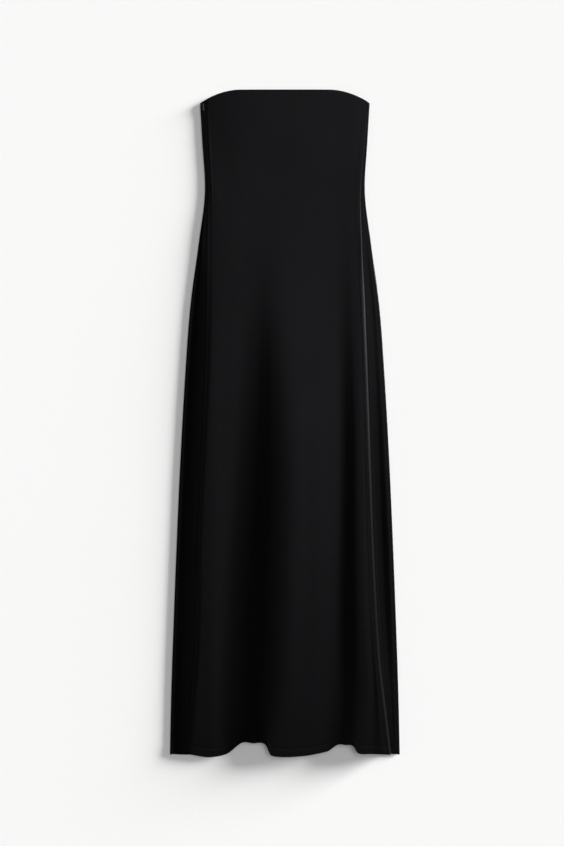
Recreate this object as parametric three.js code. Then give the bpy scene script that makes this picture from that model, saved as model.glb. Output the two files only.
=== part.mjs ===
// A strapless maxi dress of heavy black jersey, laid out on its back with the skirt's fullness in soft folds.
// Units are millimetres. +X is the viewer's right, +Y runs from the hem up to the neckline, and +Z is up.
// The origin lies on the table, under the middle of the dress.
import * as THREE from "three";

// Sizes of the whole dress
const LENGTH = 1300; // middle of the neckline to the lowest point of the hem
const CLOTH = 1.6; // one layer of the jersey
const GAP = 0.3; // air between pieces that are sewn together or lie on each other
const SEAM_HEIGHT = 4; // the side seams run along the middle of a soft rolled edge, this far above the table

// The turned-in neck edge and the turned-up hem
const TURNING_CLOTH = 1.2;
const NECK_TURNING = 20;
const HEM_TURNING = 18;

// Neckline and hem, as distances down from the highest point or up from the lowest point of the front
const NECK_LEVEL_HALF = 85; // the front's neckline is level this far to each side, then falls away in a curve
const NECK_HALF = 165;
const NECK_SIDE_DROP = 26; // how far it has fallen at the side seams
const BACK_NECK_DIP = 6; // the back's neckline dips this much further in its middle
const HEM_SEAM_RISE = 5; // the hem at the side seams
const BACK_HEM_RISE = 34; // the back's hem in its middle, out of sight behind the front
const EDGE_FADE = 8; // power with which the neckline's and the hem's curves fade out along the cloth

// Folds of the front
const CREST_OVERHANG = 1.5; // how far a side crest hangs over the strip beside it
const CREST_ROUND = 8; // from a crest's outermost line to its top
const CREST_FALL = 5.5; // from a crest's top to its outermost line
const ROLL_WIDTH = 7; // from a side seam to the top of the rolled edge
const ROLL_HEIGHT = 8.6;
const RESTING = 4; // the front's height where it lies on the back: two layers of cloth and some air
const RESTING_ON_HEM = 7; // the same where both hems are turned up
const SLOPES_START = 150; // below the neckline, where the slopes across the skirt begin
const SLOPES_FULL = 560; // where they reach their full height
const SHELF_RISE = 0.5; // from the left crest to the foot of the first slope
const MIDDLE_FALL = 2; // from the top of the middle ridge to the foot of the second slope
const CROWN_POWER = 2.5; // the front's fall from its middle to the side crests: 2 is a plain arc
const SIDE_LINES = 7; // fold lines of each side, from its seam to its crest
const SHOULDER_LINES = 3; // of those, the ones that carry the cloth over an edge with no strip beside it

// Grid of the walls
const STEPS_PER_FOLD_LINE = 3;
const STEPS_DOWN = 20;
const BACK_ARC_STEPS = 3;
const BACK_FLAT_STEPS = 6;

const mix = THREE.MathUtils.lerp;
const { smoothstep, clamp } = THREE.MathUtils;
const named = (columns, row) => Object.fromEntries(columns.map((name, i) => [name, row[i]]));
const rows = (columns, values) => values.map((row) => named(columns, row));

// Outline and side crests at sections down the dress. A crest is measured from the middle line, to its own
// side.
const OUTLINE = rows(
  ["fromTop", "halfWidth", "crown", "leftCrest", "leftHeight", "rightCrest", "rightHeight"],
  [
    [0, 167, 11, 159, 7.6, 159, 8.2],
    [100, 161, 10, 154, 7.5, 154, 8.5],
    [200, 156, 9, 149.5, 8.2, 148, 9.6],
    [300, 168, 12.5, 151, 10.5, 150.5, 12.8],
    [420, 184, 17.2, 152, 13, 157, 17.8],
    [560, 194.5, 23.5, 155, 14.5, 162, 25.4],
    [720, 203.5, 29, 162.5, 14.5, 167, 33],
    [900, 211.5, 31.5, 170, 14.5, 173, 37],
    [1100, 219, 32, 176, 14.5, 184, 38],
    [1200, 222, 32, 184, 14.5, 195, 37.5],
    [1300, 224, 31.5, 191, 14, 206, 36.5],
  ],
);

// Courses of the two slopes, as distances from the middle line to the right. Each climbs to the right, from its
// start at its foot, through two lines, to its end at the top.
const SLOPES = rows(
  ["fromTop", ...["start", "low", "high", "end"], ...["secondStart", "secondLow", "secondHigh", "secondEnd"]],
  [
    [0, -84, -60, -34, -8, 96, 108, 122, 134],
    [200, -80, -58, -32, -8, 96, 110, 124, 136],
    [400, -71, -51, -26, -5, 102, 114, 130, 143],
    [700, -88, -58, -22, 9, 103, 116, 136, 150],
    [1000, -108, -76, -31, 4, 97, 113, 137, 154],
    [1180, -116, -83, -39, -6, 88, 109, 138, 161],
    [1300, -112, -84, -40, -28, 82, 100, 129, 140],
  ],
);

// One column of a table at any distance from the top, on a smooth curve through its rows.
function course(table, column, fromTop) {
  const last = table.length - 1;
  const next = clamp(table.findIndex((row) => row.fromTop >= fromTop), 1, last);
  const at = (i) => table[clamp(i, 0, last)];
  const slope = (i) => (at(i + 1)[column] - at(i - 1)[column]) / (at(i + 1).fromTop - at(i - 1).fromTop);
  const [a, b] = [at(next - 1), at(next)];
  const span = b.fromTop - a.fromTop;
  const t = (fromTop - a.fromTop) / span;
  const bend = (1 - t) * slope(next - 1) - t * slope(next);
  return mix(a[column], b[column], t * t * (3 - 2 * t)) + t * (1 - t) * span * bend;
}

// The height of the front's outer face where it lies on the back.
function restingHeight(fromTop) {
  const onHem = smoothstep(fromTop, LENGTH - 6 * HEM_TURNING, LENGTH - 3 * HEM_TURNING);
  return mix(RESTING, RESTING_ON_HEM, onHem);
}

// The lines that run down the front, left to right, at one section: where each lies, its height, and how far
// above the hem's lowest point it ends.
function foldLines(fromTop) {
  const along = (table, column) => course(table, column, fromTop);
  const halfWidth = along(OUTLINE, "halfWidth");
  const crown = along(OUTLINE, "crown");
  const opened = smoothstep(fromTop, SLOPES_START, SLOPES_FULL);
  const resting = restingHeight(fromTop);

  // Both sides roll over at their seams. On the left the cloth climbs evenly from there to the crest.
  const seam = SEAM_HEIGHT + GAP / 2;
  const roll = [
    [0, seam],
    [0.25 * ROLL_WIDTH, 0.35 * seam + 0.65 * ROLL_HEIGHT],
    [ROLL_WIDTH, ROLL_HEIGHT],
  ];
  const ramp = (strip, height) => [
    ...roll,
    [0.45 * strip, mix(seam, height, 0.5)],
    [0.75 * strip, mix(seam, height, 0.74)],
    [strip + 1, mix(seam, height, 0.9)],
    [strip + CREST_ROUND, height],
  ];

  // On the right it dips into a gutter and tucks in under the crest.
  const tucked = (strip, height) => [
    ...roll,
    [0.62 * strip, resting],
    [strip + CREST_OVERHANG, resting + 1.6],
    [strip, height - CREST_FALL],
    [strip + CREST_ROUND, height],
  ];

  // Where the strip beside a crest is narrow, its lines close up into one rounded shoulder.
  const side = (crest, height, shape) => {
    const strip = halfWidth - crest;
    const unfolded = smoothstep(strip, 9, 30);
    const folded = shape(strip, height);
    const radius = height - seam;
    return folded.map(([inwards, z], i) => {
      const turn = (Math.PI / 2) * Math.min(1, i / SHOULDER_LINES);
      const beyond = Math.max(0, i - SHOULDER_LINES) / (SIDE_LINES - 1 - SHOULDER_LINES);
      const shoulder = mix(radius * (1 - Math.cos(turn)), strip + CREST_ROUND, beyond);
      return {
        x: mix(shoulder, inwards, unfolded) - halfWidth,
        z: mix(seam + radius * Math.sin(turn), z, unfolded),
        rise: HEM_SEAM_RISE,
      };
    });
  };
  const leftCrest = along(OUTLINE, "leftCrest");
  const leftHeight = along(OUTLINE, "leftHeight");
  const rightCrest = along(OUTLINE, "rightCrest");
  const rightHeight = along(OUTLINE, "rightHeight");

  // The plain arc of the bodice, which the opened skirt departs from further down
  const arc = (x) => {
    const [crest, height] = x < 0 ? [leftCrest, leftHeight] : [rightCrest, rightHeight];
    return crown - (crown - height) * Math.abs(x / crest) ** CROWN_POWER;
  };
  const line = (x, skirt, rise) => ({ x, z: mix(arc(x), skirt, opened), rise });
  const at = (column) => along(SLOPES, column);

  // A slope's five lines from its foot to its top, with the steepest place halfway
  const slope = (columns, low, high, rises) => {
    const [start, lower, upper, end] = columns.map(at);
    const places = [start, lower, mix(lower, upper, 0.5), upper, end];
    return places.map((x, i) => line(x, mix(low, high, smoothstep(x, start, end)), rises[i]));
  };

  const shelf = leftHeight + SHELF_RISE;
  const fallen = crown - MIDDLE_FALL;
  const left = side(leftCrest, leftHeight, ramp);
  const right = side(rightCrest, rightHeight, tucked).map((p) => ({ ...p, x: -p.x }));
  return [
    ...left,
    line(mix(CREST_ROUND - leftCrest, at("start"), 0.5), leftHeight + 0.6 * SHELF_RISE, 0),
    ...slope(["start", "low", "high", "end"], shelf, crown, [7, 29, 29, 29, 6]),
    line(mix(at("end"), at("secondStart"), 0.5), mix(crown, fallen, 0.4), 4),
    ...slope(["secondStart", "secondLow", "secondHigh", "secondEnd"], fallen, rightHeight, [14, 27, 27, 26, 7]),
    line(mix(at("secondEnd"), rightCrest - CREST_ROUND, 0.5), rightHeight, 5),
    ...right.reverse(),
  ];
}

// The neckline's fall at a distance from the middle line.
function neckDrop(x) {
  const beyondLevel = Math.max(0, Math.abs(x) - NECK_LEVEL_HALF);
  return NECK_SIDE_DROP * (beyondLevel / (NECK_HALF - NECK_LEVEL_HALF)) ** 2;
}

// How far down the dress a point of the cloth lies, with v from 0 at the neckline to 1 at the hem.
const fromTopAt = (v, drop, rise) => v * LENGTH + (1 - v) ** EDGE_FADE * drop - v ** EDGE_FADE * rise;

function sectionCurve(lines) {
  const points = lines.map(({ x, z }) => new THREE.Vector3(x, 0, z));
  return new THREE.CatmullRomCurve3(points, false, "centripetal");
}

// A point of the front's outer face, with u from 0 at the left seam to 1 at the right seam.
function frontPoint(u, v) {
  const top = sectionCurve(foldLines(NECK_SIDE_DROP)).getPoint(u);
  const hemLines = foldLines(LENGTH);
  const place = u * (hemLines.length - 1);
  const before = Math.min(Math.floor(place), hemLines.length - 2);
  const rise = mix(hemLines[before].rise, hemLines[before + 1].rise, smoothstep(place - before, 0, 1));
  const fromTop = fromTopAt(v, neckDrop(top.x), rise);
  const point = sectionCurve(foldLines(fromTop)).getPoint(u);
  const betweenCrests = before >= SIDE_LINES - 1 && before <= hemLines.length - 1 - SIDE_LINES;
  if (betweenCrests) point.z = Math.max(point.z, restingHeight(fromTop));
  return point.setY(LENGTH / 2 - fromTop);
}

// A point at some depth inside the front's outer face.
function frontSurface(u, v, depth) {
  const step = 1e-3;
  const near = (du, dv) => frontPoint(clamp(u + du, 0, 1), clamp(v + dv, 0, 1));
  const acrossCloth = near(step, 0).sub(near(-step, 0));
  const downCloth = near(0, step).sub(near(0, -step));
  const outwards = downCloth.cross(acrossCloth);
  if (u === 0 || u === 1) outwards.z = 0;
  return frontPoint(u, v).addScaledVector(outwards.normalize(), -depth);
}

// A point at some depth inside the back's outer face, which lies on the table and rolls up to the side seams.
// u runs from 0 at the right seam to 1 at the left seam, so that the face looks down.
function backSurface(u, v, depth) {
  const middle = Math.sin((Math.PI / 2) * (1 - Math.abs(2 * u - 1)) ** 0.7);
  const drop = NECK_SIDE_DROP + BACK_NECK_DIP * middle;
  const rise = mix(HEM_SEAM_RISE, BACK_HEM_RISE, middle);
  const fromTop = fromTopAt(v, drop, rise);
  const halfWidth = course(OUTLINE, "halfWidth", fromTop);
  const arcShare = BACK_ARC_STEPS / (2 * BACK_ARC_STEPS + BACK_FLAT_STEPS);
  const mirrored = u < 0.5 ? u : 1 - u;
  const side = u < 0.5 ? 1 : -1;
  const radius = SEAM_HEIGHT - depth;
  const flatHalf = halfWidth - SEAM_HEIGHT;
  let [x, z] = [mix(flatHalf, 0, (mirrored - arcShare) / (0.5 - arcShare)), depth];
  if (mirrored < arcShare) {
    const turn = (Math.PI / 2) * (mirrored / arcShare);
    x = flatHalf + radius * Math.cos(turn);
    z = SEAM_HEIGHT - radius * Math.sin(turn);
  }
  if (mirrored === 0) z = SEAM_HEIGHT - GAP / 2;
  return new THREE.Vector3(side * x, LENGTH / 2 - fromTop, z);
}

// A closed wall between two depths under a surface, on the grid lines us across and vs down.
function wall(surface, us, vs, nearDepth, farDepth) {
  const positions = [];
  const index = [];
  const across = us.length;
  for (const depth of [nearDepth, farDepth]) {
    for (const v of vs) for (const u of us) positions.push(...surface(u, v, depth).toArray());
  }
  const near = (i, j) => j * across + i;
  const far = (i, j) => near(i, j) + across * vs.length;
  const quad = (a, b, c, d) => index.push(a, b, c, a, c, d);
  const right = across - 1;
  for (let j = 0; j + 1 < vs.length; j++) {
    for (let i = 0; i < right; i++) {
      quad(near(i, j), near(i, j + 1), near(i + 1, j + 1), near(i + 1, j));
      quad(far(i, j), far(i + 1, j), far(i + 1, j + 1), far(i, j + 1));
    }
    quad(near(0, j), far(0, j), far(0, j + 1), near(0, j + 1));
    quad(near(right, j), near(right, j + 1), far(right, j + 1), far(right, j));
  }
  const end = vs.length - 1;
  for (let i = 0; i < right; i++) {
    quad(near(i, 0), near(i + 1, 0), far(i + 1, 0), far(i, 0));
    quad(near(i, end), far(i, end), far(i + 1, end), near(i + 1, end));
  }
  const geometry = new THREE.BufferGeometry();
  geometry.setAttribute("position", new THREE.Float32BufferAttribute(positions, 3));
  geometry.setIndex(index);
  geometry.computeVertexNormals();
  return geometry;
}

const evenly = (from, to, steps) => Array.from({ length: steps + 1 }, (_, i) => mix(from, to, i / steps));

const frontColumns = evenly(0, 1, STEPS_PER_FOLD_LINE * (foldLines(0).length - 1));
const backColumns = evenly(0, 1, 2 * BACK_ARC_STEPS + BACK_FLAT_STEPS);
const neckRows = evenly(0, NECK_TURNING / LENGTH, 2);
const hemRows = evenly(1 - HEM_TURNING / LENGTH, 1, 2);
const panelRows = [...neckRows, ...evenly(neckRows[2], hemRows[0], STEPS_DOWN).slice(1, -1), ...hemRows];

const jersey = new THREE.MeshStandardMaterial({ color: 0x1a1a1c, roughness: 0.9, metalness: 0 });

const dress = new THREE.Group();
function add(name, geometry) {
  const mesh = new THREE.Mesh(geometry, jersey.clone());
  mesh.name = name;
  dress.add(mesh);
}

const turnedFrom = CLOTH + GAP;
const turnedTo = turnedFrom + TURNING_CLOTH;
const withoutSeams = (columns) => columns.slice(1, -1);

add("front", wall(frontSurface, frontColumns, panelRows, 0, CLOTH));
add("back", wall(backSurface, backColumns, panelRows, 0, CLOTH));
add("front_neck_edge", wall(frontSurface, withoutSeams(frontColumns), neckRows, turnedFrom, turnedTo));
add("front_hem", wall(frontSurface, withoutSeams(frontColumns), hemRows, turnedFrom, turnedTo));
add("back_neck_edge", wall(backSurface, withoutSeams(backColumns), neckRows, turnedFrom, turnedTo));
add("back_hem", wall(backSurface, withoutSeams(backColumns), hemRows, turnedFrom, turnedTo));

export default dress;
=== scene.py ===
# %% [markdown]
# # A strapless maxi dress of black jersey, laid out on a pale table
# The dress is a tube of cloth with two panels, a front and a back, sewn together at the sides. It lies on
# its back. The bodice lies almost flat, and the skirt's fullness climbs to the right in two long soft
# slopes, up to one fold along the right side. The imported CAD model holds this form, and the lesson turns
# it into cloth.

# %% Load the frame
import math

import bmesh
import bpy
import numpy as np
from mathutils import Matrix, Vector


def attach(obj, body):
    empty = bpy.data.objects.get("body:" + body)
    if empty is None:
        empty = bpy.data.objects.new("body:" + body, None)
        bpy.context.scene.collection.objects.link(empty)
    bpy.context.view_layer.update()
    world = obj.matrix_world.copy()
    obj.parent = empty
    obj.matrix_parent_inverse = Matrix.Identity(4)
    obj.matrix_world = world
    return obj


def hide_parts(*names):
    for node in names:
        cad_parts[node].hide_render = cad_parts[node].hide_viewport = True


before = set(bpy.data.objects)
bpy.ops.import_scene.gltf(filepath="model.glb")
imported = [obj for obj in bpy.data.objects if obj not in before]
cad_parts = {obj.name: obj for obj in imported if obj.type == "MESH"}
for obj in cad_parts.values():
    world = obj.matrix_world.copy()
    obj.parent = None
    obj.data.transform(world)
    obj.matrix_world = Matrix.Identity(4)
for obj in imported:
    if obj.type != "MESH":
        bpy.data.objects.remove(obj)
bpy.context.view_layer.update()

# %% [markdown]
# ## Sizes of the dress
# A dressmaker works in millimetres, so every size below is in millimetres, and one factor turns a finished
# point into Blender's metres. The solids hold nearly the same sizes, so each panel lands close to its
# solid, and only small forms are left to the cloth alone.

# %% Sizes
MM = 0.001
LENGTH = 1300  # middle of the neckline to the lowest point of the hem
CLOTH = 1.2  # thickness of the jersey
NECK_TURNING, HEM_TURNING = 20, 18
print("length:", LENGTH, "mm, cloth:", CLOTH, "mm thick")

# %% [markdown]
# ## Sections down the dress
# Large folds are easiest to control as a few lines that run down the cloth, like the lines a draughtsman
# draws first. A short table says where each line lies at some distances below the neckline, and a smooth
# curve through the rows gives it everywhere between them. Doing the same with sculpt strokes would be quick
# too, but hard to repeat and hard to keep inside the solid.

# %% Tables of the outline and of the two slopes
def table(names, rows):
    return {name: np.array([row[i] for row in rows], float) for i, name in enumerate(names.split())}


OUTLINE = table(
    "from_top half_width crown left_crest left_height right_crest right_height",
    [
        (0, 167, 11, 159, 7.6, 165, 8.2),
        (100, 161, 10, 154, 7.5, 155.5, 8.5),
        (200, 156, 9, 149.5, 8.2, 148, 9.6),
        (300, 168, 12.5, 151, 10.5, 150.5, 12.8),
        (420, 184, 17.2, 152, 13, 157, 17.8),
        (560, 194.5, 23.5, 155, 14.5, 162, 25.4),
        (720, 203.5, 29, 162.5, 14.5, 167, 33),
        (900, 211.5, 31.5, 170, 14.5, 173, 37),
        (1100, 219, 32, 176, 14.5, 184, 38),
        (1200, 222, 32, 184, 14.5, 195, 37.5),
        (1300, 224, 31.5, 191, 14, 206, 36.5),
    ],
)
SLOPES = table(
    "from_top start low high end second_start second_low second_high second_end",
    [
        (0, -84, -60, -34, -8, 96, 108, 122, 134),
        (200, -80, -58, -32, -8, 96, 110, 124, 136),
        (400, -71, -51, -26, -5, 102, 114, 130, 143),
        (700, -88, -58, -22, 9, 103, 116, 136, 150),
        (1000, -108, -76, -31, 4, 97, 113, 137, 154),
        (1180, -116, -83, -39, -6, 88, 109, 138, 161),
        (1300, -112, -84, -40, -28, 82, 100, 129, 140),
    ],
)
half_widths = OUTLINE["half_width"]
print("half the waist:", half_widths.min(), "mm, half the hem:", half_widths.max(), "mm")


# %% A smooth curve down the rows
def soft_step(value, start, end):
    t = np.clip((value - start) / (end - start), 0, 1)
    return t * t * (3 - 2 * t)


def mix(a, b, share):
    return a + (b - a) * share


def course(rows, name, place):
    """One column of a table, on a smooth curve through its rows, at places along its first column."""
    knots, values = next(iter(rows.values())), rows[name]
    last = len(knots) - 1
    after, before = np.minimum(np.arange(last + 1) + 1, last), np.maximum(np.arange(last + 1) - 1, 0)
    slope = (values[after] - values[before]) / (knots[after] - knots[before])
    i = np.clip(np.searchsorted(knots, place) - 1, 0, last - 1)
    span = knots[i + 1] - knots[i]
    t = (place - knots[i]) / span
    bend = (1 - t) * slope[i] - t * slope[i + 1]
    return mix(values[i], values[i + 1], t * t * (3 - 2 * t)) + t * (1 - t) * span * bend


half_length = np.array(LENGTH / 2)
print("half width halfway down:", round(float(course(OUTLINE, "half_width", half_length)), 1), "mm")

# %% [markdown]
# ## The edges along the bodice
# Between each side seam and the crest next to it runs a strip of cloth. Along the bodice it is narrow, and
# the two sides differ: the left one is a rounded shoulder, and the right one is a low ledge with a small
# step up to the bodice, where the right fold begins. Each side is described by the same number of lines
# everywhere, so that one form can turn into the next without a seam.

# %% The closed sides
SEAM_HEIGHT = 4  # the side seams run this far above the table
SEAM_ROUND = 1.2  # radius with which a panel turns in at a side seam
SEAM_GAP = 0.05  # each panel keeps this far from the seam
SEAM_TOP = SEAM_HEIGHT + SEAM_ROUND + SEAM_GAP
SIDE_LINES = 7
SHOULDER_LINES = 3  # the lines of a side that lie on the shoulder's round
SHOULDER_FALL = 1.5  # the bodice falls this much from its left crest to its shoulder
CREST_FOOT, CREST_ROUND = 1, 8  # the last two lines of a side lie this far inside its crest
LEDGE = ((0, 0), (0.12, 0.35), (0.35, 0.6), (0.6, 0.8), (1, 1.1))  # share of the strip, height over seam
LEDGE_FOOT = 0.7  # the step's upper edge lies this much below the crest


def shoulder(strip, height):
    """Where the skirt hasn't opened yet, the left side is one rounded shoulder."""
    radius = height - SEAM_TOP
    lines = []
    for i in range(SIDE_LINES):
        turn = math.pi / 2 * min(1, i / SHOULDER_LINES)
        beyond = max(0, i - SHOULDER_LINES) / (SIDE_LINES - 1 - SHOULDER_LINES)
        inwards = mix(radius * (1 - math.cos(turn)), strip + CREST_ROUND, beyond)
        lines.append((inwards, SEAM_TOP + (radius - SHOULDER_FALL * (1 - beyond)) * math.sin(turn)))
    return lines


def ledge(strip, height):
    """There the right side is a low ledge, with a small step up to the bodice where the fold begins."""
    return [
        *((share * strip, SEAM_TOP + rise) for share, rise in LEDGE),
        (strip + CREST_FOOT, height - LEDGE_FOOT),
        (strip + CREST_ROUND, height),
    ]


print("lines on a side:", SIDE_LINES, "from", SEAM_TOP, "mm above the table")

# %% [markdown]
# ## The edges along the skirt
# Where the skirt opens, the strips widen. Both roll over at the seam, as an edge of jersey likes to do. On
# the left the cloth then climbs evenly to its crest. On the right it dips into a gutter first and tucks in
# under the crest of the fold, which hangs over it a little. That tuck draws the dark line beside the
# bright one.

# %% The open sides
ROLL_WIDTH, LEFT_ROLL_HEIGHT, RIGHT_ROLL_HEIGHT = 7, 6.8, 8.2
ROLL_TURN = (0.25, 0.65)  # the roll's middle line: share of its width, share of its climb
RAMP = ((0.45, 0.5), (0.75, 0.74))  # share of the strip, share of the climb to the crest
RAMP_TOP = 0.9  # share of the climb at the crest itself
GUTTER_PLACE = 0.62  # share of the strip
GUTTER_LIFT = 3.6  # a narrow strip's gutter lies this much higher, so that light reaches it
NARROW_STRIP, WIDE_STRIP = 30, 46  # the lift fades out between these widths
GUTTER_DIP = 0.6  # the gutter always lies at least this much below the top of the roll
TUCK_RISE = 1.6  # the tuck's innermost line lies this much above the gutter
CREST_OVERHANG = 1.5
CREST_FALL = 5.5  # the crest's outer face falls this much before the cloth tucks in
STRIP_CLOSED, STRIP_OPEN = 9, 30  # a side changes from its closed to its open form between these widths


def rolled(height):
    """The lines of an edge that rolls over at its seam."""
    width, climb = ROLL_TURN
    return [(0, SEAM_TOP), (width * ROLL_WIDTH, mix(SEAM_TOP, height, climb)), (ROLL_WIDTH, height)]


def ramp(strip, height):
    """The left side rolls over at its seam and climbs evenly to the crest."""
    return [
        *rolled(LEFT_ROLL_HEIGHT),
        *((share * strip, mix(SEAM_TOP, height, climb)) for share, climb in RAMP),
        (strip + CREST_FOOT, mix(SEAM_TOP, height, RAMP_TOP)),
        (strip + CREST_ROUND, height),
    ]


def tucked(strip, height, resting):
    """The right side rolls over, dips into a gutter and tucks in under the crest."""
    lift = GUTTER_LIFT * (1 - soft_step(strip, NARROW_STRIP, WIDE_STRIP))
    gutter = np.minimum(resting + lift, RIGHT_ROLL_HEIGHT - GUTTER_DIP)
    return [
        *rolled(RIGHT_ROLL_HEIGHT),
        (GUTTER_PLACE * strip, gutter),
        (strip + CREST_OVERHANG, gutter + TUCK_RISE),
        (strip, height - CREST_FALL),
        (strip + CREST_ROUND, height),
    ]


def side(half_width, strip, closed, folded):
    """A side's lines from its seam inwards, on the way from the closed form to the folded one."""
    opened = soft_step(strip, STRIP_CLOSED, STRIP_OPEN)
    return [
        (mix(x, folded_x, opened) - half_width, mix(z, folded_z, opened))
        for (x, z), (folded_x, folded_z) in zip(closed, folded)
    ]


print("the strips open between widths of", STRIP_CLOSED, "and", STRIP_OPEN, "mm")

# %% [markdown]
# ## The slopes of the front
# Seen from the hem, the front climbs to the right in steps. A low shelf lies on the left, a long soft
# slope leads up to the middle ridge, and a second, shorter slope leads up to the fold along the right
# side. Higher up, where the skirt hasn't opened yet, all of it sinks into the bodice's plain arc. The
# front never lies lower than the back panel allows, nor than the back's turned hem where it covers that.

# %% Fold lines from seam to seam
RESTING, RESTING_ON_HEM = 4, 7  # least height of the front over the back panel and over its hem
SLOPES_START, SLOPES_FULL = 150, 560  # the slopes rise out of the arc between these distances
SHELF_RISE = 0.5  # the left shelf climbs this much from its crest to the foot of the first slope
SHELF_MIDDLE = 0.6  # share of that climb halfway
MIDDLE_FALL = 2  # the middle ridge falls this much towards the second slope
MIDDLE_TURN = 0.4  # share of that fall halfway
CROWN_POWER = 2.5  # how flat the arc is: 2 would be a plain parabola


def resting_height(from_top):
    on_hem = soft_step(from_top, LENGTH - 6 * HEM_TURNING, LENGTH - 3 * HEM_TURNING)
    return mix(RESTING, RESTING_ON_HEM, on_hem)


def fold_lines(from_top):
    """The place across and the height of every line, left to right, at distances below the neckline."""
    half_width, crown, left_crest, left_height, right_crest, right_height = (
        course(OUTLINE, name, from_top) for name in [*OUTLINE][1:]
    )
    left_strip, right_strip = half_width - left_crest, half_width - right_crest
    opened_skirt = soft_step(from_top, SLOPES_START, SLOPES_FULL)

    def arc(x):
        """The bodice's plain arc, highest in the middle and down at the two crests."""
        crest = np.where(x < 0, left_crest, right_crest)
        height = np.where(x < 0, left_height, right_height)
        return crown - (crown - height) * np.abs(x / crest) ** CROWN_POWER

    def at(name):
        return course(SLOPES, name, from_top)

    def line(x, skirt):
        """A line's place, and its height between the bodice's arc and the opened skirt."""
        return x, mix(arc(x), skirt, opened_skirt)

    def halfway(a, b, skirt):
        return line(mix(a, b, 0.5), skirt)

    def slope(names, low, high):
        """Five lines from the foot of a slope to its top, with the steepest place halfway."""
        start, lower, upper, end = (at(name) for name in names.split())
        places = (start, lower, mix(lower, upper, 0.5), upper, end)
        return [line(x, mix(low, high, soft_step(x, start, end))) for x in places]

    shelf = left_height + SHELF_RISE
    fallen = crown - MIDDLE_FALL
    left = side(half_width, left_strip, shoulder(left_strip, left_height), ramp(left_strip, left_height))
    tuck = tucked(right_strip, right_height, resting_height(from_top))
    right = side(half_width, right_strip, ledge(right_strip, right_height), tuck)
    lines = [
        *left,
        halfway(CREST_ROUND - left_crest, at("start"), mix(left_height, shelf, SHELF_MIDDLE)),
        *slope("start low high end", shelf, crown),
        halfway(at("end"), at("second_start"), mix(crown, fallen, MIDDLE_TURN)),
        *slope("second_start second_low second_high second_end", fallen, right_height),
        halfway(at("second_end"), right_crest - CREST_ROUND, right_height),
        *((-x, z) for x, z in reversed(right)),
    ]
    xs, zs = zip(*(np.broadcast_arrays(x, z, from_top)[:2] for x, z in lines))
    return np.array(xs, float), np.array(zs, float)


at_hem = fold_lines(np.array(float(LENGTH)))
print("fold lines across the front:", len(at_hem[0]), "up to", round(at_hem[1].max(), 1), "mm high")

# %% [markdown]
# ## The waves of the hem
# A hem that lies in slopes doesn't end in a straight line: cloth that climbs has further to go, so it ends
# higher up on the table. Here the hem has two high places, one on each slope. A number for each fold line
# says how far above the hem's lowest point it ends.

# %% Where each line ends
HEM_SEAM_RISE = 5
HEM_RISES = [HEM_SEAM_RISE] * SIDE_LINES + [0, 7, 29, 29, 29, 6, 4, 14, 27, 27, 26, 11, 10]
HEM_RISES += [9, 8, 6] + [HEM_SEAM_RISE] * (SIDE_LINES - 3)
SPANS = len(HEM_RISES) - 1
HEM = table("line rise", [*enumerate(HEM_RISES)])
print("rises along the hem:", HEM_RISES)

# %% [markdown]
# ## A smooth curve across the lines
# Cloth bends evenly between its fold lines. A smooth curve runs through all lines of a section, and its
# pace follows the distances between them. The lines lie close together at the tuck and far apart on the
# slopes, and a curve with an even pace would swing out into a loop beside the close ones.

# %% Points between the lines
def across(lines, u):
    """A point on the smooth curve through a section's lines, with u from 0 at the first to 1 at the last."""
    xs, zs = lines
    place = u * SPANS
    i = min(int(place), SPANS - 1)
    t = place - i

    def line(k):
        if k < 0:
            return 2 * xs[0] - xs[1], 2 * zs[0] - zs[1]
        if k > SPANS:
            return 2 * xs[-1] - xs[-2], 2 * zs[-1] - zs[-2]
        return xs[k], zs[k]

    p = [line(i + k) for k in (-1, 0, 1, 2)]
    d = [np.maximum(np.hypot(b[0] - a[0], b[1] - a[1]), 1e-6) ** 0.5 for a, b in zip(p, p[1:])]
    out = []
    for c in (0, 1):
        a, b, e, f = (q[c] for q in p)
        enter = ((b - a) / d[0] - (e - a) / (d[0] + d[1]) + (e - b) / d[1]) * d[1]
        leave = ((e - b) / d[1] - (f - b) / (d[1] + d[2]) + (f - e) / d[2]) * d[1]
        cubic = 2 * b - 2 * e + enter + leave
        square = -3 * b + 3 * e - 2 * enter - leave
        out.append(b + enter * t + square * t**2 + cubic * t**3)
    return out


print("the hem's middle line, across and up:", [round(float(c), 1) for c in across(at_hem, 0.5)])

# %% [markdown]
# ## Small creases
# Between the large folds, heavy jersey keeps a few long shallow ripples where it was smoothed by hand.
# Each one is a soft trough or ridge with a start, an end, a width and a height. They are uneven on
# purpose: evenly spaced ripples look like corrugated sheet, not like cloth.

# %% Creases of the front
CREASES = table(
    "x_start start x_end end half_width height",
    [
        (30, 420, 16, 1240, 14, 0.3),
        (66, 560, 62, 1290, 12, 0.3),
        (112, 480, 108, 1290, 12, -0.4),
        (139, 480, 139, 1290, 12, 0.4),
        (165, 820, 172, 1290, 9, -0.5),
        (-134, 620, -146, 1290, 12, 0.4),
        (-20, 60, -34, 330, 40, -0.3),
        (84, 90, 96, 380, 34, 0.3),
        (-128, 40, -118, 250, 26, -0.3),
        (136, 30, 130, 230, 20, 0.3),
    ],
)
WANDER = 1.5  # a crease swings this much to either side of its straight run
RIPPLE = 0.12  # height of the faint unevenness everywhere


def hump(distance, width):
    return np.exp(-((distance / width) ** 2))


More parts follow.
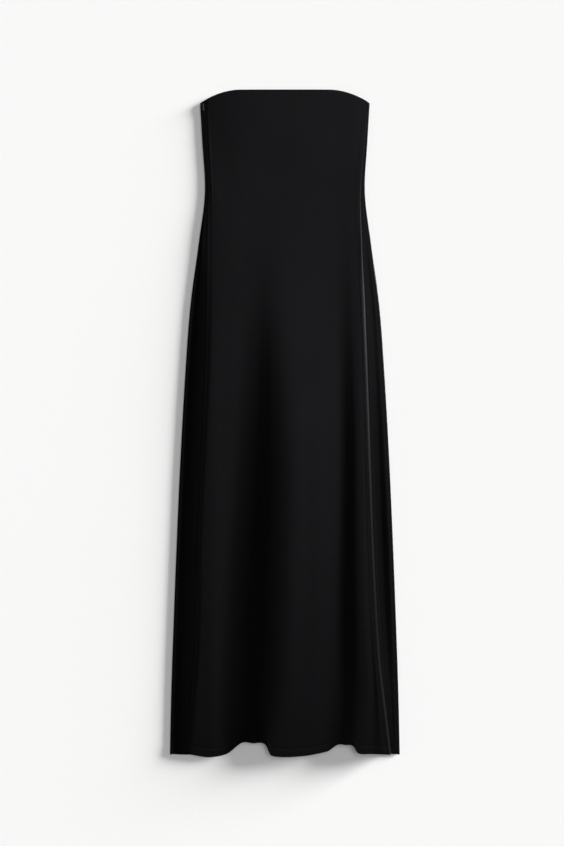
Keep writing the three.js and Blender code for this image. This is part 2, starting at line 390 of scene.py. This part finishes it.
def crease_height(creases, x, from_top):
    """How far the small creases lift the cloth at a place."""
    total = np.zeros_like(x)
    for x0, s0, x1, s1, half_width, height in zip(*creases.values()):
        along = (from_top - s0) / (s1 - s0)
        fade = soft_step(along, -0.15, 0.35) * (1 - soft_step(along, 0.7, 1.12))
        middle = mix(x0, x1, along) + WANDER * np.sin(from_top / 83 + x0)
        total += height * fade * hump(x - middle, half_width)
    return total


def ripple(x, from_top):
    """The faint unevenness of cloth that was smoothed by hand."""
    return RIPPLE * np.sin(x / 23 + 1.7 * np.sin(from_top / 310)) * np.sin(from_top / 190 + x / 140)


print("creases on the front:", len(CREASES["height"]))

# %% [markdown]
# ## Marks of sewing and of folding
# A row of stitches pulls a narrow groove into the hem and makes the cloth beside it pucker in tiny waves.
# Where a fold has lain flat for a while, its crest keeps a thin raised line. All of these stay under a
# quarter of a millimetre, and they catch the light all the same, so they belong to the form.

# %% Groove, pucker and crest folds
HEM_STITCH_LINE = 16  # the stitches' height above the folded edge
GROOVE_DEPTH, GROOVE_HALF = 0.12, 1.2
PUCKER, PUCKER_REACH = 0.07, 6
CREST_FOLD = 1.9  # half width of the thin fold along a crest
CREST_FOLDS = (("left_crest", -1, 0.5, 0.2), ("right_crest", 1, 2.5, 0.14))  # crest, side, inwards, height
CREST_FOLD_START, CREST_FOLD_FULL = 100, 280


def stitch_groove(down):
    return GROOVE_DEPTH * hump(LENGTH - down - HEM_STITCH_LINE, GROOVE_HALF)


def hem_pucker(along, down):
    """Tiny uneven waves that the stitching pulls into the hem, on both sides of its row of stitches."""
    wave = np.sin(along / 2.1 + 1.3 * np.sin(along / 17)) * (0.6 + 0.4 * np.sin(along / 41 + 2))
    return PUCKER * wave * hump(LENGTH - down - HEM_STITCH_LINE, PUCKER_REACH)


def crest_fold(x, from_top):
    """The thin fold that the two crests have taken from lying flat."""
    total = np.zeros_like(x)
    for name, sign, inwards, height in CREST_FOLDS:
        distance = x * sign - (course(OUTLINE, name, from_top) - inwards)
        full = soft_step(from_top, CREST_FOLD_START, CREST_FOLD_FULL)
        total += height * full * hump(distance, CREST_FOLD)
    return total


print("groove:", GROOVE_DEPTH, "mm, pucker:", PUCKER, "mm, crest folds:", len(CREST_FOLDS))

# %% [markdown]
# ## Rows, columns and turnings
# A panel is a grid of rows, from the neckline down, and columns, from seam to seam. At the neckline and the
# hem the rows carry on round a fold and back up inside, as a real turning does. The fold gives the edges
# their round, thick look. The rows lie closer together near the hem, where the stitches pull at the cloth.

# %% Rows down a panel
FOLD_ROUND = CLOTH + 0.15  # radius of the fold at the neckline and at the hem
NECK_EDGE_ROWS, HEM_EDGE_ROWS, TURNED_ROWS = 6, 15, 8
ABOVE_HEM, ABOVE_HEM_ROWS = 26, 4  # close rows go on this far above the folded edge
BODY_ROWS = 176


def stops(*pieces):
    """Numbers from one piece to the next: each piece is an end and the number of steps that lead to it."""
    out = [pieces[0]]
    for end, steps in pieces[1:]:
        out += list(np.linspace(out[-1], end, steps + 1)[1:])
    return np.array(out)


FROM_EDGE = stops(FOLD_ROUND, (NECK_TURNING, NECK_EDGE_ROWS))
UP_HEM = stops(FOLD_ROUND, (HEM_TURNING, HEM_EDGE_ROWS), (ABOVE_HEM, ABOVE_HEM_ROWS))
BODY = stops(NECK_TURNING, (LENGTH - ABOVE_HEM, BODY_ROWS))[1:-1]
DOWN = np.concatenate([FROM_EDGE, BODY, (LENGTH - UP_HEM)[::-1]])
print("rows down the panels:", len(DOWN))


# %% Turnings at the neckline and the hem
def normals(points):
    """The direction that the cloth's right side faces, at each point of a grid of rows from the top down."""
    down = np.gradient(points, axis=0)
    right = np.gradient(points, axis=1)
    facing = np.cross(down, right)
    return facing / np.maximum(np.linalg.norm(facing, axis=2, keepdims=True), 1e-9)


def turned(points, edge, inner):
    """Points that carry a panel round a fold and back along the inside of its edge rows.

    points is a grid of rows by columns, edge the row at the fold, inner the rows to lie along inside."""
    outwards = points[edge] - points[inner[0]]
    outwards /= np.linalg.norm(outwards, axis=1, keepdims=True)
    facing = normals(points)
    arc = [
        points[edge] + FOLD_ROUND * (math.sin(a) * outwards - (1 - math.cos(a)) * facing[edge])
        for a in np.linspace(0, math.pi, TURNED_ROWS + 1)[1:]
    ]
    back = [points[row] - 2 * FOLD_ROUND * facing[row] for row in inner]
    return np.array(arc + back)


def with_turnings(points):
    """The panel with its neck turning above it and its hem turning below it."""
    last = len(points) - 1
    top = turned(points, 0, range(1, NECK_EDGE_ROWS + 1))
    bottom = turned(points, last, range(last - 1, last - 1 - HEM_EDGE_ROWS, -1))
    return np.concatenate([top[::-1], points, bottom])


print("rows in the turnings:", NECK_EDGE_ROWS + TURNED_ROWS, "and", HEM_EDGE_ROWS + TURNED_ROWS)

# %% [markdown]
# ## Seam allowances
# Where the panels are sewn together, each turns in at the seam and runs back a little inside, as it does on
# every sewn side seam. The front turns down into the seam and the back turns up into it, so they meet at
# the seam's height. From outside this makes a closed, softly rounded edge instead of two raw ones.

# %% Columns beside the seams
SEAM_TURNS = (30, 60, 90)  # degrees
SEAM_ALLOWANCE = 6
ALLOWANCE_PLACES = (SEAM_ALLOWANCE / 2, SEAM_ALLOWANCE)
ALLOWANCE_COLUMNS = len(SEAM_TURNS) + len(ALLOWANCE_PLACES)


def with_allowances(points, downwards):
    """The panel with its side edges turned in along the seams: down with downwards = 1, up with -1."""
    left, right = [], []
    for angle in np.radians(SEAM_TURNS):
        sideways, fall = SEAM_ROUND * (1 - math.cos(angle)), downwards * SEAM_ROUND * math.sin(angle)
        left.append(points[:, 0] + [sideways, 0, -fall])
        right.append(points[:, -1] - [sideways, 0, fall])
    left_seam, right_seam = left[-1], right[-1]
    for inwards in ALLOWANCE_PLACES:
        left.append(left_seam + [inwards, 0, 0])
        right.append(right_seam - [inwards, 0, 0])
    return np.concatenate([np.stack(left[::-1], axis=1), points, np.stack(right, axis=1)], axis=1)


print("columns in an allowance:", ALLOWANCE_COLUMNS)

# %% [markdown]
# ## The front's points
# Each column of the front runs down the cloth at its own place between two fold lines. The top of a column
# follows the neckline, which is level in the middle and falls towards the seams, and its foot follows the
# wave of the hem. Both effects fade within a short way, so that the middle of the dress stays undistorted.

# %% The front, column by column
NECK_HALF, NECK_SIDE_DROP = 165, 26
NECK_LEVEL_HALF = 85  # the neckline is level this far to each side of the middle
EDGE_FADE = 8
STEPS_PER_SPAN = 6


def from_top_at(down, drop, rise):
    """How far below the level of the neckline a point lies, when down is its place along the cloth."""
    v = np.clip(down / LENGTH, 0, 1)
    return down + (1 - v) ** EDGE_FADE * drop - v**EDGE_FADE * rise


def neck_drop(x):
    return NECK_SIDE_DROP * (max(0, abs(x) - NECK_LEVEL_HALF) / (NECK_HALF - NECK_LEVEL_HALF)) ** 2


def front_points():
    top_lines = fold_lines(np.array(float(NECK_SIDE_DROP)))
    columns = []
    for u in np.linspace(0, 1, SPANS * STEPS_PER_SPAN + 1):
        i = min(int(u * SPANS), SPANS - 1)
        rise = float(course(HEM, "rise", np.array(u * SPANS)))
        from_top = from_top_at(DOWN, neck_drop(float(across(top_lines, u)[0])), rise)
        x, z = across(fold_lines(from_top), u)
        between_crests = SIDE_LINES - 1 <= i <= SPANS - SIDE_LINES
        if between_crests:
            z = z + crease_height(CREASES, x, from_top) + ripple(x, from_top)
            z = np.maximum(z, resting_height(from_top))
        z = z + crest_fold(x, from_top) - stitch_groove(DOWN) + hem_pucker(x, DOWN)
        columns.append(np.stack([x, LENGTH / 2 - from_top, z], axis=1))
    return np.stack(columns, axis=1)


front_grid = with_turnings(with_allowances(front_points(), 1))
print("front grid:", front_grid.shape[0], "rows by", front_grid.shape[1], "columns")

# %% [markdown]
# ## The back's points
# The back lies pressed flat against the table, with a few shallow creases of its own. Its sides curve up
# to the seams. Its neckline dips a little lower than the front's, and its hem ends higher up in the middle,
# so that it doesn't show under the front's waves.

# %% Creases of the back
BACK_CREASES = table(
    "x_start start x_end end half_width height",
    [
        (-40, 260, -96, 1240, 16, 0.55),
        (58, 180, 88, 900, 20, 0.45),
        (10, 520, 4, 1180, 11, 0.4),
        (-110, 60, -70, 480, 24, 0.35),
        (134, 640, 152, 1250, 12, 0.5),
        (24, 40, 60, 300, 30, 0.3),
    ],
)
print("creases on the back:", len(BACK_CREASES["height"]))

# %% The back, column by column
BACK_NECK_DIP, BACK_HEM_RISE = 6, 34
BACK_TURNS, BACK_COLUMNS = 6, 41  # columns on the curve up to a seam, and across the flat middle
DIP_FULLNESS = 0.7  # below 1 the dip and the rise are broad, with their ends close to the seams
CREASE_FADE = 0.25  # power with which the creases fade out at the seams


def back_points():
    radius = SEAM_HEIGHT - SEAM_ROUND - SEAM_GAP
    quarter = math.pi / 2
    turns = np.linspace(0, quarter, BACK_TURNS)
    flat_places = [(share, quarter) for share in np.linspace(-1, 1, BACK_COLUMNS)[1:-1]]
    places = [(-1, turn) for turn in turns] + flat_places + [(1, turn) for turn in turns[::-1]]
    columns = []
    for share, turn in places:
        inward = 1 - abs(share)
        middle = math.sin(quarter * inward**DIP_FULLNESS)
        drop = NECK_SIDE_DROP + BACK_NECK_DIP * middle
        from_top = from_top_at(DOWN, drop, mix(HEM_SEAM_RISE, BACK_HEM_RISE, middle))
        flat_half = course(OUTLINE, "half_width", from_top) - radius
        reach = radius - stitch_groove(DOWN)
        x = share * flat_half + math.copysign(1, share) * reach * math.cos(turn)
        z = radius - reach * math.sin(turn)
        if abs(share) < 1:
            z = z + inward**CREASE_FADE * crease_height(BACK_CREASES, x, from_top)
        columns.append(np.stack([x, LENGTH / 2 - from_top, z], axis=1))
    return np.stack(columns, axis=1)


# The columns run from right to left, so that the right side of the cloth faces down
back_grid = with_turnings(with_allowances(back_points(), -1)[:, ::-1])
print("back grid:", back_grid.shape[0], "rows by", back_grid.shape[1], "columns")

# %% [markdown]
# ## From points to cloth
# Blender's grid operator makes the flat sheet, and each of its corners then moves to its place, as if the
# cut panel were laid into its folds. A Solidify modifier gives it the jersey's thickness towards the
# inside. The flat sheet's own coordinates, measured along the cloth, become the UV map, so the knit follows
# every fold.

# %% A sheet laid into its folds
def new_piece(name, bm):
    """An object in the scene from a finished bmesh, smoothly shaded."""
    for face in bm.faces:
        face.smooth = True
    mesh = bpy.data.meshes.new(name)
    bm.to_mesh(mesh)
    bm.free()
    piece = bpy.data.objects.new(name, mesh)
    bpy.context.scene.collection.objects.link(piece)
    return piece


def distances(grid, axis):
    """How far along the cloth each row or each column lies from the first one, on average."""
    steps = np.linalg.norm(np.diff(grid, axis=axis), axis=2).mean(axis=1 - axis)
    return np.concatenate([[0], steps.cumsum()])


def laid_sheet(name, grid):
    rows, columns = grid.shape[:2]
    bm = bmesh.new()
    bmesh.ops.create_grid(bm, x_segments=columns - 1, y_segments=rows - 1, size=0.5)
    xs = sorted({round(v.co.x, 6) for v in bm.verts})
    ys = sorted({round(v.co.y, 6) for v in bm.verts}, reverse=True)
    column_of, row_of = {x: i for i, x in enumerate(xs)}, {y: i for i, y in enumerate(ys)}
    place = {v: (row_of[round(v.co.y, 6)], column_of[round(v.co.x, 6)]) for v in bm.verts}

    along_right, along_down = distances(grid, 1), distances(grid, 0)
    uv = bm.loops.layers.uv.new("cloth")
    for face in bm.faces:
        for loop in face.loops:
            row, column = place[loop.vert]
            loop[uv].uv = (along_right[column] * MM, -along_down[row] * MM)
    for vert, (row, column) in place.items():
        vert.co = Vector(grid[row, column]) * MM
    sheet = new_piece(name, bm)
    wall = sheet.modifiers.new("thickness", "SOLIDIFY")
    wall.thickness = CLOTH * MM
    wall.offset = -1
    return sheet


front = laid_sheet("front_cloth", front_grid)
back = laid_sheet("back_cloth", back_grid)
print("faces:", len(front.data.polygons), len(back.data.polygons))

# %% [markdown]
# ## Shader sums
# A node tree is easier to read as a sum. This small class wraps a socket, so that `1 - mask` or `a * b`
# adds the Math node it stands for. Any other node comes from one function that sets it up and links it.

# %% Sockets that can be added and multiplied
class Wire:
    def __init__(self, tree, socket):
        self.tree, self.socket = tree, socket

    def math(self, operation, a, b=0.0):
        return node(self.tree, "ShaderNodeMath", {"operation": operation}, {0: a, 1: b})

    def __add__(self, other):
        return self.math("ADD", self, other)

    def __radd__(self, other):
        return self.math("ADD", other, self)

    def __sub__(self, other):
        return self.math("SUBTRACT", self, other)

    def __rsub__(self, other):
        return self.math("SUBTRACT", other, self)

    def __mul__(self, other):
        return self.math("MULTIPLY", self, other)

    def __rmul__(self, other):
        return self.math("MULTIPLY", other, self)

    def __abs__(self):
        return self.math("ABSOLUTE", self)

    def sine(self):
        return self.math("SINE", self)

    def cosine(self):
        return self.math("COSINE", self)

    def fraction(self):
        return self.math("FRACT", self)


def node(tree, kind, settings=None, inputs=None, output=0):
    """Adds a node, sets it up, gives its sockets values or links, and returns one of its outputs."""
    made = tree.nodes.new(kind)
    for name, value in (settings or {}).items():
        setattr(made, name, value)
    for name, value in (inputs or {}).items():
        if isinstance(value, Wire):
            tree.links.new(value.socket, made.inputs[name])
        else:
            made.inputs[name].default_value = value
    return Wire(tree, made.outputs[output]) if made.outputs else None


print("a wire takes + - * and abs, and gives sine, cosine and fraction")

# %% [markdown]
# ## Black jersey
# Jersey is a fine knit. On its right side the loops stand in columns of small V shapes, about a millimetre
# wide. Black jersey scatters hardly any light. What one sees is the soft gloss of its yarn: a flat part
# shows a dim, even grey, and a part that turns away from the light falls quickly to black. A trace of sheen
# stands for the fuzz. A little uneven dye and softness keeps the large flat parts alive.

# %% The jersey material
WALE, COURSE = 1.1, 0.85  # width and height of one loop
LOOP_SLANT = 1.2  # how steeply the two legs of a loop stand, as a V
RIB, LOOP = 0.8, 0.5  # heights of the columns and of the loops in them, before the bump's own strength
DYE_SCALE, FUZZ_SCALE = 9.0, 900.0
SHADE_SPREAD = 0.14  # the dye is this share lighter or darker in places
KNIT_STRENGTH, KNIT_DEPTH = 0.14, 0.06  # the depth in millimetres


def jersey(name, shade, roughness):
    material = bpy.data.materials.new(name)
    material.use_nodes = True
    tree = material.node_tree
    tree.nodes.clear()
    uv = node(tree, "ShaderNodeUVMap", {"uv_map": "cloth"})
    u, v = (node(tree, "ShaderNodeSeparateXYZ", {}, {0: uv}, output=axis) for axis in "XY")

    wale = abs((u * (1 / (WALE * MM))).fraction() - 0.5)
    loops = ((v * (1 / (COURSE * MM)) + wale * LOOP_SLANT) * (2 * math.pi)).sine()
    knit = loops * LOOP + (wale * (2 * math.pi)).cosine() * RIB

    place = node(tree, "ShaderNodeTexCoord", output="Object")
    uneven = {"Vector": place, "Scale": DYE_SCALE, "Detail": 3.0, "Roughness": 0.55}
    dye = node(tree, "ShaderNodeTexNoise", {}, uneven)
    fuzz = node(tree, "ShaderNodeTexNoise", {}, {"Vector": place, "Scale": FUZZ_SCALE, "Detail": 2.0})
    darker, lighter = ((*(c * (1 + spread) for c in shade), 1) for spread in (-SHADE_SPREAD, SHADE_SPREAD))
    blend = {0: dye * 0.6 + fuzz * 0.4, 6: darker, 7: lighter}
    colour = node(tree, "ShaderNodeMix", {"data_type": "RGBA"}, blend, output=2)
    relief = {"Height": knit + fuzz * 0.6, "Strength": KNIT_STRENGTH, "Distance": KNIT_DEPTH * MM}
    bump = node(tree, "ShaderNodeBump", {}, relief, output="Normal")
    finish = {
        "Base Color": colour,
        "Roughness": roughness - 0.03 + dye * 0.06,
        "Normal": bump,
        "Specular IOR Level": 0.045,
        "Specular Tint": (0.93, 0.915, 1.0, 1),
        "Sheen Weight": 0.006,
        "Sheen Roughness": 0.4,
        "Sheen Tint": (0.9, 0.93, 1.0, 1),
    }
    surface = node(tree, "ShaderNodeBsdfPrincipled", {}, finish)
    node(tree, "ShaderNodeOutputMaterial", {}, {"Surface": surface})
    return material


black_jersey = jersey("black_jersey", (0.0013, 0.0013, 0.0015), 0.35)
for panel in (front, back):
    panel.data.materials.append(black_jersey)
print("loops across the neckline:", round(2 * NECK_HALF / WALE))

# %% [markdown]
# ## The hem's stitching
# The turned-up hem is held by one row of stitches, 16 mm above the folded edge. Each stitch is a short
# grain of thread that sinks a little into the jersey. One small round shape, stretched and laid along the
# row again and again, is enough, because the thread is as black as the cloth and shows only as a faint line.

# %% Stitches along the hem
STITCH, THREAD = 2.7, 0.42  # length and thickness of one stitch
STITCH_PACE = 1.25 * STITCH
AHEAD = 0.6  # a stitch points from its middle to the place this far along the row


def stitch_row(name, grid, row, clear):
    """Stitches along one row of a panel's grid, with their middles this far clear of the cloth's surface."""
    between_seams = slice(ALLOWANCE_COLUMNS, -ALLOWANCE_COLUMNS)
    line, facing = grid[row, between_seams], normals(grid)[row, between_seams]
    along = np.concatenate([[0], np.linalg.norm(np.diff(line, axis=0), axis=1).cumsum()])

    def on_row(values, place):
        return Vector([np.interp(place, along, values[:, k]) for k in range(3)])

    count = int(along[-1] / STITCH_PACE)
    grain = Matrix.LocRotScale(None, None, (STITCH / 2, THREAD / 2, THREAD / 2))
    bm = bmesh.new()
    for place in (np.arange(count) + 0.5) / count * along[-1]:
        middle, out = on_row(line, place), on_row(facing, place).normalized()
        run = (on_row(line, place + AHEAD) - middle).normalized()
        turned_to = Matrix((run, out.cross(run), out)).transposed().to_4x4()
        where = Matrix.Translation((middle + out * clear) * MM) @ turned_to @ Matrix.Scale(MM, 4) @ grain
        bmesh.ops.create_uvsphere(bm, u_segments=8, v_segments=5, radius=1, matrix=where)
    print(name, "has", count, "stitches")
    return new_piece(name, bm)


# A grid's rows begin with the neck turning, so a panel's own rows lie that many rows further on
stitch_at = NECK_EDGE_ROWS + TURNED_ROWS + int(np.argmin(np.abs(LENGTH - DOWN - HEM_STITCH_LINE)))
front_stitches = stitch_row("front_hem_stitches", front_grid, stitch_at, 0.04)
back_stitches = stitch_row("back_hem_stitches", back_grid, stitch_at, -0.08)

# %% [markdown]
# ## The thread
# Sewing thread is smoother than jersey, so it shines a little more. It is dyed as black as the cloth. Its
# twist is far too fine to see from above, and a fine noise in the roughness is enough to break up the shine.

# %% The thread's material
thread = bpy.data.materials.new("black_thread")
thread.use_nodes = True
thread_tree = thread.node_tree
thread_place = node(thread_tree, "ShaderNodeTexCoord", output="Object")
twist = node(thread_tree, "ShaderNodeTexNoise", {}, {"Vector": thread_place, "Scale": 1500.0})
thread_surface = thread_tree.nodes["Principled BSDF"].inputs
thread_surface["Base Color"].default_value = (0.003, 0.003, 0.0034, 1)
thread_surface["Specular IOR Level"].default_value = 0.12
thread_tree.links.new((twist * 0.2 + 0.35).socket, thread_surface["Roughness"])
for stitches in (front_stitches, back_stitches):
    stitches.data.materials.append(thread)
print("nodes in the thread's material:", len(thread_tree.nodes))

# %% [markdown]
# ## The table
# The dress lies on a pale matt table that reaches past the picture on all sides. It lies a hair lower than
# the cloth, so that no two faces share one plane. The table is staged: it belongs to the picture, not to
# the dress.

# %% The table
TABLE = 14.0  # half its side, in metres
UNDER_CLOTH = 0.2  # the table lies this much lower than the cloth
bm = bmesh.new()
lowered = Matrix.Translation((0, 0, -UNDER_CLOTH * MM))
bmesh.ops.create_grid(bm, x_segments=1, y_segments=1, size=TABLE, matrix=lowered)
table_top = new_piece("table", bm)
pale = bpy.data.materials.new("pale_table")
pale.use_nodes = True
table_surface = pale.node_tree.nodes["Principled BSDF"].inputs
table_surface["Base Color"].default_value = (0.875, 0.872, 0.868, 1)
table_surface["Roughness"].default_value = 0.9
table_surface["Specular IOR Level"].default_value = 0.0
table_top.data.materials.append(pale)
print("table:", 2 * TABLE, "m a side")

# %% [markdown]
# ## Camera
# The camera looks straight down with a long lens, so that near and far parts of the cloth show at the same
# size. One pixel's size on the table follows from the length of the dress, and gives the camera's height.

# %% The camera
DRESS_PIXELS, PICTURE_PIXELS = 665.9, 846  # length of the dress and height of the picture
AIM = (-2.85, 0.25)  # the picture's middle lies this many pixels from the dress's middle
LENS, SENSOR = 85, 36
pixel = LENGTH / DRESS_PIXELS * MM
camera = bpy.data.cameras.new("camera")
camera.lens, camera.sensor_width, camera.clip_end = LENS, SENSOR, 20
eye = bpy.data.objects.new("camera", camera)
eye.location = (AIM[0] * pixel, AIM[1] * pixel, PICTURE_PIXELS * pixel * LENS / SENSOR)
bpy.context.scene.collection.objects.link(eye)
bpy.context.scene.camera = eye
print("camera height:", round(eye.location.z, 2), "m")

# %% [markdown]
# ## Light
# Soft studio light falls on the table. The main light is large, far off to the right and low, so it grazes
# the black cloth: wherever the cloth climbs to the right it falls to black, and the crest of the right fold
# catches a thin bright line. The shadow hugs the left side and the hem. A weaker light from above and a
# little sky keep the flat parts grey.

# %% Lights
def soft_light(name, turned_to, height, spread, strength):
    """A large far light, by its compass direction and height over the table, both in degrees."""
    lamp = bpy.data.lights.new(name, "SUN")
    lamp.energy, lamp.angle = strength, math.radians(spread)
    stand = bpy.data.objects.new(name, lamp)
    turn, lift = math.radians(turned_to), math.radians(height)
    towards = Vector((math.cos(lift) * math.cos(turn), math.cos(lift) * math.sin(turn), math.sin(lift)))
    stand.location = towards * 3
    stand.rotation_euler = towards.to_track_quat("Z", "Y").to_euler()
    bpy.context.scene.collection.objects.link(stand)


soft_light("side_light", turned_to=22, height=12, spread=24, strength=9.9)
soft_light("top_light", turned_to=45, height=79, spread=30, strength=1.08)
soft_light("left_fill", turned_to=200, height=32, spread=30, strength=0.08)
world = bpy.data.worlds.new("studio")
bpy.context.scene.world = world
world.use_nodes = True
sky = world.node_tree.nodes["Background"].inputs
sky["Color"].default_value = (1, 1, 1, 1)
sky["Strength"].default_value = 0.08
bpy.context.scene.view_settings.view_transform = "Standard"
print("lights:", [lamp.name for lamp in bpy.data.lights])

# %% [markdown]
# ## What each piece stands for
# The frame keeps the solids for weight and collision. Each cloth piece rides with the dress, and the solids
# it stands for are hidden.

PANELS = (
    (front, ("front", "front_neck_edge", "front_hem")),
    (back, ("back", "back_neck_edge", "back_hem")),
)
for panel, nodes in PANELS:
    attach(panel, "root")
    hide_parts(*nodes)
for stitches in (front_stitches, back_stitches):
    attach(stitches, "root")
print("pieces:", [piece.name for piece in (front, back, front_stitches, back_stitches)])
